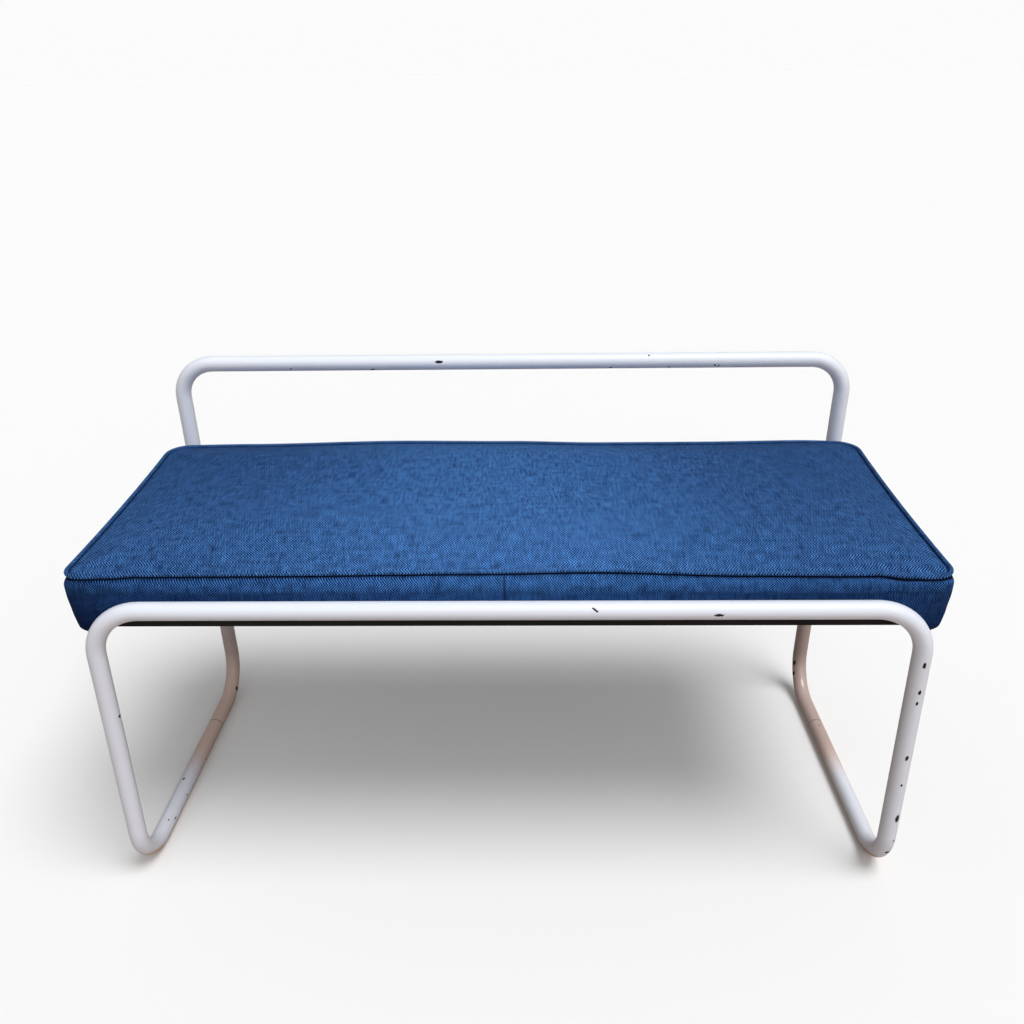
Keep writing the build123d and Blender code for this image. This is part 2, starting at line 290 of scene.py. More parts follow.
# Each chip: its middle, then its half sizes along x, y and z, in millimetres
coatChips = (
    ((-101.5, 194.1, 575.3), (5.8, 4, 2.1)),
    ((-197.6, 196.9, 564.1), (3.2, 3, 1.6)),
    ((-315.2, 195.1, 566.4), (1.4, 3, 1.2)),
    ((-385.7, 206.7, 582.7), (1.4, 2, 1.2)),
    ((144.7, 196.8, 564.2), (2.8, 3, 1.4)),
    ((198.9, 198.3, 581.1), (1.4, 2, 1.2)),
    ((228.1, 196.5, 564.5), (1.8, 2, 1.2)),
    ((293.0, 194.5, 567.5), (1.6, 2, 1.4)),
    ((298.4, 194.9, 566.4), (1.4, 2, 1.2)),
    ((99.4, -213.0, 414.4), (1.5, 2, 0.9)),
    ((100.8, -213.4, 413.5), (1.5, 2, 0.9)),
    ((102.2, -213.8, 412.5), (1.5, 2, 0.9)),
    ((103.6, -214.2, 411.5), (1.5, 2, 0.9)),
    ((239.7, -215.5, 406.8), (5.8, 4, 1.7)),
    ((-468.4, -204.7, 258.6), (2.0, 2.4, 2.2)),
    ((-464.4, 171.5, 19.7), (3.6, 3.4, 4.4)),
    ((-481.2, -49.4, 21.8), (1.7, 2.6, 1.5)),
    ((-467.4, 7.0, 10.5), (1.0, 2.2, 1.0)),
    ((-469.5, -74.1, 14.3), (1.0, 1.8, 1.0)),
    ((-475.6, -130.3, 20.5), (1.0, 1.6, 1.0)),
    ((-470.5, -120.6, 14.5), (0.9, 3.2, 1.0)),
    ((478.4, -215.5, 338.3), (2.0, 3, 4.4)),
    ((479.6, -215.5, 300.4), (2.0, 3, 3.2)),
    ((479.0, -215.5, 284.7), (1.6, 3, 2.4)),
    ((481.1, -215.4, 203.8), (2.1, 3, 3.8)),
    ((481.6, -215.4, 161.5), (1.4, 3, 2.0)),
    ((485.6, -214.6, 106.9), (2.9, 4, 6.4)),
    ((487.6, -213.6, 68.8), (1.4, 3, 2.0)),
    ((483.7, -210.9, 46.4), (3.2, 3, 2.6)),
    ((465.5, 196.2, 53.5), (3, 2.4, 4.6)),
    ((464.5, 189.8, 36.8), (3, 2.4, 4.4)),
    ((477.7, 73.4, 22.0), (1.0, 1.4, 0.9)),
)


def powderCoat():
    s = coatSettings
    f = Finish("white_powder_coat")
    here = f.where()
    grain = f.noise(here, s["orangePeelScale"], 2)
    cloud = f.noise(here, s["cloudScale"], 3)
    x, y, z = f.split(here)
    # Lighter towards the back rail and darker down the legs: painted light on the upper tubes
    paintedLightUpper = f.step(z + (cloud - 0.5) * s["backBlur"], *s["backFrom"])
    base = f.mix(paintedLightUpper, colour(*s["coat"]), colour(*s["back"]))
    # The runners' rear halves carry a painted warm reflection
    low = 1 - f.step(z, *s["runnerHeight"])
    warmReflection = f.step(y + (cloud - 0.5) * s["warmBlur"], *s["warmFrom"]) * low * s["warmShare"]
    base = f.mix(warmReflection, base, colour(*s["warmReflection"]))
    # Painted shade on the rear legs under the seat, the right one down to its runner, and on the
    # right runner's rear part
    right = f.step(x, *s["rightFrom"])
    shadeBehind = f.step(y, *s["rearLegFrom"]) * (1 - f.step(z, *s["rearLegTop"]))
    shadeBehind = shadeBehind * f.step(z, *s["rearLegFoot"])
    shadeBehind = shadeBehind * (right * s["shadedRightMore"] + s["shadedLeft"])
    runnerShade = f.step(y, *s["rightRunnerFrom"]) * low * right * s["shadedRunner"]
    base = f.mix(shadeBehind + runnerShade, base, colour(*s["shaded"]))
    # Scuffed, and tinted with a painted warm reflection, where it stands on the floor and a little
    # way up each front foot
    standing = z - f.step(0 - y, *s["footFrom"]) * s["footScuff"]
    scuffAndReflection = 1 - f.step(standing + (grain - 0.5) * s["scuffBlur"], *s["scuffEdge"])
    base = f.mix(scuffAndReflection * s["scuffShare"], base, colour(*s["scuffAndReflection"]))
    # A hairline where the two tubes meet on their inner sleeve
    apart = y - s["jointPlace"]
    apart = apart.math("ABSOLUTE", apart)
    hairline = (1 - f.step(apart, s["jointHalf"] * 0.5, s["jointHalf"] * 1.5)) * low
    base = f.mix(hairline * s["jointShare"], base, colour(*s["undercoat"]))
    mask = 0.0
    rag = f.noise(here, s["ragScale"], 3)
    for middle, half in coatChips:
        offset = f.vector("SUBTRACT", here, [0.001 * value for value in middle])
        scaled = f.vector("DIVIDE", offset, [0.001 * value for value in half])
        reach = f.vector("LENGTH", scaled, output=1)
        spot = 1 - f.step(reach + (rag - 0.5) * s["ragShare"] * 2, *s["chipEdge"])
        mask = spot.math("MAXIMUM", mask, spot)
    shade = f.mix(mask, base, colour(*s["undercoat"]))
    height = grain * s["orangePeelShare"] - mask
    normal = f.bump(height, s["relief"], s["orangePeelDepth"])
    return f.surface(Base_Color=shade, Roughness=s["roughness"] + mask * s["chipRoughness"],
                     Normal=normal, Coat_Weight=(1 - mask) * s["gloss"],
                     Coat_Roughness=s["glossRoughness"])


# Bright zinc on screws, washers, tee nuts and sleeves
zincSettings = {
    "colour": (0.62, 0.62, 0.64),
    "dull": 0.85,
    "roughness": 0.34,
    "uneven": 0.25,
    "cloudScale": 60,
    "brushScale": 900,
    "brushRelief": 0.2,
    "brushDepth": 0.00005,
}


def brightZinc():
    s = zincSettings
    f = Finish("zinc_steel")
    here = f.where()
    brushed = f.noise(here, s["brushScale"], 2)
    cloud = f.noise(here, s["cloudScale"], 3)
    rough = s["roughness"] + (cloud - 0.5) * s["uneven"]
    tone = f.mix(cloud, colour(*[s["dull"] * c for c in s["colour"]]), colour(*s["colour"]))
    return f.surface(Base_Color=tone, Metallic=1.0, Roughness=rough,
                     Normal=f.bump(brushed, s["brushRelief"], s["brushDepth"]))


# Black paint on the seat board, with the board's fibres just showing
boardSettings = {
    "colour": (0.0035, 0.0035, 0.0045),
    "worn": (0.010, 0.0095, 0.010),
    "wornFrom": (0.4, 0.75),
    "wornScale": 9,
    "roughness": 0.55,
    "uneven": 0.2,
    "shine": 0.25,
    "fibreAlong": 12,
    "fibreAcross": 220,
    "relief": 0.35,
    "reliefDepth": 0.0004,
}


def blackPaint():
    s = boardSettings
    f = Finish("black_board")
    here = f.where()
    x, y, z = f.split(here)
    along = f.join(x * s["fibreAlong"], y * s["fibreAcross"], z * s["fibreAcross"])
    fibre = f.noise(along, 1.0, 4, 0.6)
    cloud = f.noise(here, s["wornScale"], 3)
    tone = f.mix(f.step(cloud, *s["wornFrom"]), colour(*s["colour"]), colour(*s["worn"]))
    rough = s["roughness"] + (fibre - 0.5) * s["uneven"]
    return f.surface(Base_Color=tone, Roughness=rough, Specular_IOR_Level=s["shine"],
                     Normal=f.bump(fibre, s["relief"], s["reliefDepth"]))


# Herringbone cloth: slanted light and navy yarns that turn back at each band.
# The pieces carry their place on the flat cloth, in metres, in the attribute "cloth", and as its
# third number their distance from the seam that they turn under at
clothSettings = {
    "band": 0.0068,
    "pitch": 0.0034,
    "sidePitch": 0.0031,
    "knotPitch": 0.55,
    "wobbleScale": 160,
    "wobble": 0.5,
    "navy": (0.001, 0.009, 0.052),
    "blue": (0.126, 0.392, 0.985),
    # the boxing's blue is darker than the top's: painted shade on its upright sides
    "sideBlueShaded": (0.098, 0.352, 0.955),
    "level": 0.46,
    "contrast": 1.3,
    "sideContrast": 2.1,
    "deepFrom": (0.004, 0.020),
    "deepContrast": 1.2,
    # painted shade towards the boxing's bottom
    "deepShade": 0.07,
    "yarnEdge": (0.22, 0.80),
    "yarnLight": 0.5,
    "knotLight": 0.9,
    "yarnGap": 0.45,
    "speckScale": 430,
    "speckShare": 0.7,
    "blotchScale": 36,
    "blotchShare": 0.36,
    "cloudScale": 7,
    "cloudShare": 0.2,
    "warpScale": (330, 64),
    "warpShare": 0.9,
    "weftScale": (60, 150),
    "weftShare": 0.6,
    # painted light and shade across the cloth, lighter at the middle
    "litHalf": 0.42,
    "shadeEnd": 0.36,
    "shadeRear": 0.20,
    "rearFrom": (-0.17, 0.18),
    "sideShade": (((0.004, 0.030), 0.28), ((0.028, 0.075), 0.16)),
    "cornerFrom": (0.42, 0.51),
    "leftCorner": 0.26,
    "rightCorner": 0.12,
    "brightest": 0.74,
    "creaseFrom": (0.0030, 0.0040),
    "topCrease": 0.65,
    "sideCrease": 0.96,
    "creaseShade": (0.001, 0.003, 0.018),
    "roughness": 0.9,
    "shine": 0.12,
    "yarnHeight": 0.6,
    "knotHeight": 0.4,
    "relief": 0.6,
    "reliefDepth": 0.0005,
}


# The boxing's upright seam at the middle of its front
boxingSeam = {
    "half": 0.0009,
    "lineShare": 0.70,
    "valley": 0.003,
    "valleyShare": 0.12,
    "valleyDepth": 1.2,
    "shade": (0.004, 0.012, 0.05),
}


def frontSeam(f, reach, shade, height):
    s = boxingSeam
    line = 1 - f.step(reach, s["half"] * 0.5, s["half"] * 1.6)
    valley = 1 - f.step(reach, 0.0, s["valley"])
    share = line * s["lineShare"] + valley * s["valleyShare"]
    return f.mix(share, shade, colour(*s["shade"])), height - valley * s["valleyDepth"]


def herringbone(name, banded=True, upright=False):
    s = clothSettings
    f = Finish(name)
    place = f.node("ShaderNodeAttribute", {"attribute_name": "cloth"}, output="Vector")
    here = f.where()
    u, v, depth = f.split(place)
    pitch = s["sidePitch" if upright else "pitch"]
    zigzag = v.math("PINGPONG", v, s["band"]) if banded else v
    wobble = (f.noise(here, s["wobbleScale"], 1) - 0.5) * s["wobble"]
    slant = (u + zigzag) / pitch + wobble
    across = (u - zigzag) / (pitch * s["knotPitch"]) + wobble
    line = slant.math("SINE", slant * (2 * math.pi)) * 0.5 + 0.5
    knot = across.math("SINE", across * (2 * math.pi)) * 0.5 + 0.5
    yarn = f.step(line, *s["yarnEdge"])
    speck = f.noise(here, s["speckScale"], 1)
    blotch = f.noise(here, s["blotchScale"], 4, 0.6)
    cloud = f.noise(here, s["cloudScale"], 2)
    warp = f.noise(f.join(*[a * b for a, b in zip((u, v), s["warpScale"])]), 1.0, 0)
    weft = f.noise(f.join(*[a * b for a, b in zip((u, v), s["weftScale"])]), 1.0, 0)
    contrast, level = s["contrast"], s["level"]
    if upright:  # further down, the boxing is painted darker as shade, and its yarns show stronger contrast
        deep = f.step(depth, *s["deepFrom"])
        contrast = (deep - 0.5) * s["deepContrast"] + s["sideContrast"]
        level = level - deep * s["deepShade"]
    light = (yarn * (s["yarnLight"] + knot * s["knotLight"]) - s["yarnGap"]) * contrast + level
    light = light.math("MINIMUM", light.math("MAXIMUM", light, 0.0), 1.0)
    uneven = (speck - 0.5) * s["speckShare"] + (blotch - 0.5) * s["blotchShare"]
    uneven = uneven + (cloud - 0.5) * s["cloudShare"] + (warp - 0.5) * s["warpShare"]
    uneven = uneven + (weft - 0.5) * s["weftShare"] + s["brightest"]
    # Painted light and shade: lighter at the middle and darker towards the ends; the top also
    # darker towards the rear, the boxing further down and at its corners, the left one most
    reach = u.math("ABSOLUTE", u)
    paintedShade = f.step(reach, 0.0, s["litHalf"]) * s["shadeEnd"]
    if upright:
        for depths, share in s["sideShade"]:
            paintedShade = paintedShade + f.step(depth, *depths) * share
        paintedShade = paintedShade + f.step(0 - u, *s["cornerFrom"]) * s["leftCorner"]
        paintedShade = paintedShade + f.step(u, *s["cornerFrom"]) * s["rightCorner"]
    elif banded:
        paintedShade = paintedShade + f.step(v, *s["rearFrom"]) * s["shadeRear"]
    tone = light * uneven * (1 - paintedShade)
    shade = f.mix(tone, colour(*s["navy"]), colour(*s["sideBlueShaded" if upright else "blue"]))
    # darker near the seam: painted shade in the crease where the cloth turns under
    crease = (1 - f.step(depth, *s["creaseFrom"])) * s["sideCrease" if upright else "topCrease"]
    shade = f.mix(crease, shade, colour(*s["creaseShade"]))
    height = yarn * s["yarnHeight"] + knot * s["knotHeight"]
    if upright:
        shade, height = frontSeam(f, reach, shade, height)
    normal = f.bump(height, s["relief"], s["reliefDepth"])
    return f.surface(Base_Color=shade, Roughness=s["roughness"], Normal=normal,
                     Specular_IOR_Level=s["shine"])


# The cover's lining and the zip's tape: plain woven cloth
plainSettings = {
    "tones": {"black_lining": (0.014, 0.014, 0.016), "zip_tape": (0.008, 0.016, 0.05)},
    "dark": 0.7,
    "pale": 1.4,
    "pitch": 0.0006,
    "dustScale": 30,
    "roughness": 0.85,
    "relief": 0.4,
    "reliefDepth": 0.0002,
}


def plainCloth(name):
    s = plainSettings
    f = Finish(name)
    x, y, z = f.split(f.where())
    warp = x.math("SINE", (x + z) * (2 * math.pi / s["pitch"]))
    weft = y.math("SINE", (y + z) * (2 * math.pi / s["pitch"]))
    weave = (warp + weft) * 0.25 + 0.5
    dust = f.noise(f.where(), s["dustScale"], 4)
    dark, pale = (colour(*[s[key] * c for c in s["tones"][name]]) for key in ("dark", "pale"))
    shade = f.mix(weave * 0.5 + dust * 0.5, dark, pale)
    return f.surface(Base_Color=shade, Roughness=s["roughness"],
                     Normal=f.bump(weave, s["relief"], s["reliefDepth"]))


# Dark enamel on the zip's slider
enamelSettings = {
    "tone": (0.012, 0.02, 0.045),
    "pale": 1.5,
    "cloudScale": 150,
    "roughness": 0.3,
    "uneven": 0.1,
    "relief": 0.1,
    "reliefDepth": 0.0001,
}


def enamel():
    s = enamelSettings
    f = Finish("zip_metal")
    cloud = f.noise(f.where(), s["cloudScale"], 3)
    shade = f.mix(cloud, colour(*s["tone"]), colour(*[s["pale"] * c for c in s["tone"]]))
    return f.surface(Base_Color=shade, Roughness=s["roughness"] + cloud * s["uneven"],
                     Normal=f.bump(cloud, s["relief"], s["reliefDepth"]))


materials = {
    "white_powder_coat": powderCoat(),
    "zinc_steel": brightZinc(),
    "black_board": blackPaint(),
    "blue_herringbone": herringbone("blue_herringbone"),
    "boxing_herringbone": herringbone("boxing_herringbone", upright=True),
    "piping_herringbone": herringbone("piping_herringbone", banded=False),
    "black_lining": plainCloth("black_lining"),
    "zip_tape": plainCloth("zip_tape"),
    "zip_metal": enamel(),
}
print("finishes made")

slotOf = {part["node"]: part["material_slot"] for part in frame["record"]["subparts"]}
for nodeName, nodeObject in frame["nodes"].items():
    finish = materials.get(slotOf[nodeName])
    if finish:
        nodeObject.data.materials.clear()
        nodeObject.data.materials.append(finish)

# Cushion, in metres. Its outline is the boxing's outer face at the top seam
cushion = {
    "halfLength": 0.5035,
    "front": -0.1910,
    "rear": 0.1860,
    "frontCorner": 0.021,
    "rearCorner": 0.030,
    "boxingCorner": 0.008,
    "endPull": 0.004,
    "longPull": 0.003,
    "middleX": -0.0002,
    "columns": 168,
    "rows": 64,
    "rings": (0.010, 0.022, 0.036, 0.054, 0.08, 0.12, 0.18, 0.25, 0.33, 0.42, 0.51, 0.60, 0.69,
              0.78, 0.86, 0.92, 0.965, 1.0),
    "groove": 0.0018,
    "endGroove": 0.0007,
    "endFrom": 0.97,
    "grooveDepth": 0.0026,
    "grooveWidth": 0.0016,
    "joinReach": 0.0015,
    "seamFront": ((-0.50, 0.4446), (-0.45, 0.4453), (-0.42, 0.4472), (-0.25, 0.4472),
                  (-0.02, 0.4490), (0.10, 0.4508), (0.27, 0.4462), (0.38, 0.4455),
                  (0.417, 0.4460), (0.45, 0.4422), (0.48, 0.4415), (0.50, 0.4426)),
    "seamRear": ((-0.50, 0.4490), (-0.39, 0.4508), (-0.16, 0.4552), (0.0, 0.4538), (0.13, 0.4508),
                 (0.28, 0.4506), (0.42, 0.4516), (0.50, 0.4490)),
    "seamSink": 0.0014,
    "crown": 0.0105,
    "crownReach": 0.0108,
    "dome": 0.0015,
    "boardTop": 0.3997,
    "boardEnd": 0.4884,
    "lipBottom": 0.3668,
    "seamOut": 0.0015,
    "seamOutReach": 0.006,
    "drawIn": ((0.3668, 0.0085), (0.375, 0.0020), (0.398, -0.0010), (0.418, -0.0030),
               (0.434, -0.0024), (0.4445, 0.0)),
    "frontDrawIn": ((0.3668, 0.0040), (0.373, 0.0), (0.380, -0.0013), (0.418, -0.0018),
                    (0.433, -0.0034), (0.4445, 0.0)),
    "boardFront": -0.1910,
    "boardArcStart": 0.467,
    "boardArc": 0.020,
    "flapStart": 0.470,
    "flapHighStart": 0.450,
    "flapHighBottom": 0.3862,
    "flapClearance": 0.0012,
    "flapWeld": 0.0012,
    "limitBelow": 0.424,
    "frontLimit": -0.1929,
    "baseFront": -0.1916,
    "rearLimit": 0.1925,
    "onCut": 2e-5,  # a point this near to a cut lies on it
}


def halfDepth():
    return (cushion["rear"] - cushion["front"]) / 2


# The height or depth of a smooth line through the points
def curveAt(points, x):
    if x <= points[0][0]:
        return points[0][1]
    for (x0, y0), (x1, y1) in zip(points, points[1:]):
        if x <= x1:
            t = (x - x0) / (x1 - x0)
            t = t * t * (3 - 2 * t)
            return y0 + (y1 - y0) * t
    return points[-1][1]


# A point of the flat square, -1 to 1 each way, laid on the cushion's bowed and rounded plan
def planPoint(gx, gy, inset, frontInset=None, frontCorner=None):
    s = cushion
    middleY = (s["front"] + s["rear"]) / 2
    halfX = s["halfLength"] - inset
    halfY = halfDepth() - inset
    corner = s["rearCorner"]
    if gy < 0:
        halfY += inset - (inset if frontInset is None else frontInset)
        corner = s["frontCorner"] if frontCorner is None else frontCorner
    x, y = gx * halfX, gy * halfY
    gapX, gapY = halfX - abs(x), halfY - abs(y)
    depth = min(gapX, gapY)
    arc = max(corner - depth, 0)
    along = abs(gapX - gapY)
    if along < arc:
        quarter = math.pi / 4
        angle = quarter * (1 - along / arc) if gapX < gapY else quarter * (1 + along / arc)
        x = math.copysign(halfX - depth - arc + arc * math.cos(angle), x)
        y = math.copysign(halfY - depth - arc + arc * math.sin(angle), y)
    shareX, shareY = x / halfX, y / halfY
    x -= math.copysign(s["endPull"] * (1 - shareY**2) * abs(shareX) ** 4, x)
    y -= math.copysign(s["longPull"] * (1 - shareX**2) * abs(shareY) ** 4, y)
    return Vector((x + s["middleX"], y + middleY, 0))


def seamHeight(point):
    s = cushion
    share = (point.y - s["front"]) / (s["rear"] - s["front"])
    share = min(max(share, 0), 1)
    return curveAt(s["seamFront"], point.x) * (1 - share) + curveAt(s["seamRear"], point.x) * share


# Each edge once, in the same order every time
def edgesOf(verts):
    return list(dict.fromkeys(edge for vert in verts for edge in vert.link_edges))


def newObject(bm, name):
    mesh = bpy.data.meshes.new(name)
    bm.to_mesh(mesh)
    bm.free()
    mesh.shade_smooth()
    piece = bpy.data.objects.new(name, mesh)
    bpy.context.scene.collection.objects.link(piece)
    return piece


def cushionShell():
    s = cushion
    bm = bmesh.new()
    bmesh.ops.create_grid(bm, x_segments=s["columns"], y_segments=s["rows"], size=1)
    gridX = bm.verts.layers.float.new("gridX")
    gridY = bm.verts.layers.float.new("gridY")
    level = bm.verts.layers.float.new("level")
    crease = bm.edges.layers.float.new("crease_edge")
    for vert in bm.verts:
        vert[gridX], vert[gridY] = vert.co.x, vert.co.y
    edges = [edge for edge in bm.edges if edge.is_boundary]
    for edge in edges:
        edge[crease] = 1.0
    for share in s["rings"]:
        made = bmesh.ops.extrude_edge_only(bm, edges=edges)["geom"]
        edges = [g for g in made if isinstance(g, bmesh.types.BMEdge) and g.is_boundary]
        for g in made:
            if isinstance(g, bmesh.types.BMVert):
                g[level] = share
            if isinstance(g, bmesh.types.BMEdge):
                g[crease] = 0.0
    halfY = halfDepth()
    for vert in bm.verts:
        gx, gy = vert[gridX], vert[gridY]
        rim = planPoint(gx, gy, 0)
        seam = seamHeight(rim) - s["seamSink"]
        if vert[level] == 0:
            near = min((1 - abs(gx)) * s["halfLength"], (1 - abs(gy)) * halfY)
            rise = s["crown"] * (1 - math.exp(-near / s["crownReach"]))
            rise += s["dome"] * (1 - gx**2) * (1 - gy**2)
            vert.co = planPoint(gx, gy, -s["seamOut"] * math.exp(-near / s["seamOutReach"]))
            vert.co.z = seam + rise
        else:
            height = seam + (s["lipBottom"] - seam) * vert[level]
            depth = seam - height
            joined = math.exp(-depth / s["joinReach"])
            groove = s["endGroove"] if abs(gx) > s["endFrom"] else s["groove"]
            groove *= math.exp(-(((depth - s["grooveDepth"]) / s["grooveWidth"]) ** 2))
            out = groove - s["seamOut"] * joined
            corner = s["boxingCorner"] + (s["frontCorner"] - s["boxingCorner"]) * joined
            vert.co = planPoint(gx, gy, curveAt(s["drawIn"], height) + out,
                                curveAt(s["frontDrawIn"], height) + out, corner)
            vert.co.z = height
    bmesh.ops.recalc_face_normals(bm, faces=bm.faces)
    return newObject(bm, "cushion_shell")


# The cloth simulation that fills the cover out a little
puffSettings = {
    "pressure": 3.0,
    "furthest": 0.005,
    "frames": 20,
    "cloth": {"quality": 6, "mass": 0.3, "tension_stiffness": 25, "compression_stiffness": 25,
              "shear_stiffness": 12, "bending_stiffness": 1.5},
}


def puffUp(piece):
    s = puffSettings
    mesh = piece.data
    start = [vert.co.copy() for vert in mesh.vertices]
    level = [value.value for value in mesh.attributes["level"].data]
    grid = [(abs(a.value), abs(b.value)) for a, b in
            zip(mesh.attributes["gridX"].data, mesh.attributes["gridY"].data)]
    rim = [i for i, share in enumerate(level) if share > 0.999
           or (share == 0 and max(grid[i]) > 0.9999)
           or (start[i].z < cushion["boardTop"] and abs(start[i].x) < cushion["boardEnd"])]
    held = piece.vertex_groups.new(name="held")
    held.add(rim, 1.0, "REPLACE")
    modifier = piece.modifiers.new("puff", "CLOTH")
    settings = modifier.settings
    settings.vertex_group_mass = "held"
    settings.use_pressure = True
    settings.uniform_pressure_force = s["pressure"]
    settings.effector_weights.gravity = 0
    for name, value in s["cloth"].items():
        setattr(settings, name, value)
    scene = bpy.context.scene
    modifier.point_cache.frame_start = 1
    modifier.point_cache.frame_end = s["frames"]
    for number in range(1, s["frames"] + 1):
        scene.frame_set(number)
    shaped = piece.evaluated_get(bpy.context.evaluated_depsgraph_get()).to_mesh()
    moved = [vert.co.copy() for vert in shaped.vertices]
    piece.modifiers.remove(modifier)
    steps = [now - before for now, before in zip(moved, start)]
    print("cushion puffed, furthest move", round(max(step.length for step in steps), 4))
    for vert, step, before in zip(mesh.vertices, steps, start):
        if step.length > s["furthest"]:
            step *= s["furthest"] / step.length
        vert.co = before + step
    scene.frame_set(1)


# The boxing passes in front of the board's two front corners, a little way in from each end
def cornerFlaps(bm, notch, kind):
    s = cushion
    flaps = bm.copy()
    flaps.faces.ensure_lookup_table()
    bm.faces.index_update()
    kept = set()
    for face in notch:
        middle = face.calc_center_median()
        start = s["flapHighStart"] if middle.z > s["flapHighBottom"] else s["flapStart"]
        if face[kind] == 1 and middle.y < 0 and abs(middle.x) > start:
            kept.add(face.index)
    others = [face for face in flaps.faces if face.index not in kept]
    bmesh.ops.delete(flaps, geom=others, context="FACES")
    for vert in flaps.verts:
        past = min(max(abs(vert.co.x) - s["boardArcStart"], 0), s["boardArc"])
        edge = s["boardFront"] + s["boardArc"] - math.sqrt(s["boardArc"] ** 2 - past**2)
        vert.co.y = min(vert.co.y, edge - s["flapClearance"])
    return flaps


def trimmedShell(piece):
    s = cushion
    smooth = piece.modifiers.new("smooth", "SUBSURF")
    smooth.levels = smooth.render_levels = 1
    shaped = piece.evaluated_get(bpy.context.evaluated_depsgraph_get()).to_mesh()
    bm = bmesh.new()
    bm.from_mesh(shaped)
    bpy.data.objects.remove(piece)
    level = bm.verts.layers.float["level"]
    kind = bm.faces.layers.int.new("kind")
    for face in bm.faces:
        face[kind] = 1 if any(vert[level] > 0.001 for vert in face.verts) else 0
    for vert in bm.verts:
        if vert.co.z < s["limitBelow"]:
            vert.co.y = min(max(vert.co.y, s["frontLimit"]), s["rearLimit"])
    under = bmesh.ops.contextual_create(bm, geom=[e for e in bm.edges if e.is_boundary])["faces"]
    for face in under:
        face[kind] = 2
    for place, way in (((0, 0, s["boardTop"]), (0, 0, 1)), ((s["boardEnd"], 0, 0), (1, 0, 0)),
                       ((-s["boardEnd"], 0, 0), (-1, 0, 0))):
        everything = bm.verts[:] + bm.edges[:] + bm.faces[:]
        bmesh.ops.bisect_plane(bm, geom=everything, dist=1e-6, plane_co=place, plane_no=way)
    notch = []
    for face in bm.faces:
        middle = face.calc_center_bounds()
        if middle.z < s["boardTop"] - 1e-5 and abs(middle.x) < s["boardEnd"] - 1e-5:
            notch.append(face)
    flaps = cornerFlaps(bm, notch, kind)
    bmesh.ops.delete(bm, geom=notch, context="FACES")
    cut = [edge for edge in bm.edges if edge.is_boundary]
    corners = {}
    for edge in cut:
        for vert in edge.verts:
            gaps = vert.co.z - s["boardTop"], abs(vert.co.x) - s["boardEnd"]
            if max(abs(gap) for gap in gaps) < s["onCut"]:
                corners[(vert.co.x > 0, vert.co.y > 0)] = vert
    ridge = {side: bm.edges.new((corners[(side, False)], corners[(side, True)]))
             for side in (False, True)}

    def onEnd(edge, side):
        end = s["boardEnd"] if side else -s["boardEnd"]
        return all(abs(vert.co.x - end) < s["onCut"] for vert in edge.verts)

    ends = {side: [e for e in cut if onEnd(e, side)] for side in (False, True)}
    flat = [e for e in cut if e not in ends[False] and e not in ends[True]]
    loops = [ends[side] + [ridge[side]] for side in (False, True)]
    loops.append(flat + [ridge[False], ridge[True]])
    for loop in loops:
        for face in bmesh.ops.contextual_create(bm, geom=loop)["faces"]:
            face[kind] = 2
    bmesh.ops.recalc_face_normals(bm, faces=bm.faces)
    print("cushion trimmed, edges left open", sum(e.is_boundary for e in bm.edges))
    return bm, flaps


def panelOf(shell, kindWanted, extra=None):
    bm = shell.copy()
    kind = bm.faces.layers.int["kind"]
    others = [face for face in bm.faces if face[kind] != kindWanted]
    bmesh.ops.delete(bm, geom=others, context="FACES")
    if extra:
        added = bpy.data.meshes.new("added")
        extra.to_mesh(added)
        bm.from_mesh(added)
        bpy.data.meshes.remove(added)
        bmesh.ops.remove_doubles(bm, verts=bm.verts, dist=cushion["flapWeld"])
        bmesh.ops.recalc_face_normals(bm, faces=bm.faces)
    return bm


clothPanel = {"thickness": 0.0009}


def finishPanel(bm, name, finish, *stoodFor):
    piece = newObject(bm, name)
    wall = piece.modifiers.new("thickness", "SOLIDIFY")
    wall.thickness = clothPanel["thickness"]
    wall.offset = -1
    piece.data.materials.append(materials[finish])
    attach(piece, "root")
    if stoodFor:
        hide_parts(*stoodFor)
    return piece


def perimeterPlace(gx, gy):
    s = cushion
    if abs(gx) >= abs(gy) and abs(gx) > 0.9999:
        return s["halfLength"] + (gy + 1) * halfDepth()
    reach = abs(gx) * s["halfLength"]
    return reach if gy < 0 else 2 * (s["halfLength"] + halfDepth()) - reach


# Along the boxing from the middle of its front, less than nothing to the left
def alongBoxing(gx, gy):
    return math.copysign(perimeterPlace(gx, gy), gx)


shellObject = cushionShell()
puffUp(shellObject)
shell, flaps = trimmedShell(shellObject)

topPanel = panelOf(shell, 0)
cloth = topPanel.verts.layers.float_vector.new("cloth")
gridX, gridY = (topPanel.verts.layers.float[name] for name in ("gridX", "gridY"))
for vert in topPanel.verts:
    near = min((1 - abs(vert[gridX])) * cushion["halfLength"], (1 - vert[gridY]) * halfDepth())
    vert[cloth] = Vector((vert.co.x, vert.co.y, near))
cushionTop = finishPanel(topPanel, "cushion_top", "blue_herringbone", "cover_top_panel")

sidePanel = panelOf(shell, 1, flaps)
cloth = sidePanel.verts.layers.float_vector.new("cloth")
gridX, gridY = (sidePanel.verts.layers.float[name] for name in ("gridX", "gridY"))
for vert in sidePanel.verts:
    seam = seamHeight(vert.co) - cushion["seamSink"]
    along = alongBoxing(vert[gridX], vert[gridY])
    vert[cloth] = Vector((along, vert.co.z, seam - vert.co.z))
cushionBoxing = finishPanel(sidePanel, "cushion_boxing", "boxing_herringbone", "cover_boxing",
                            "cushion_foam")

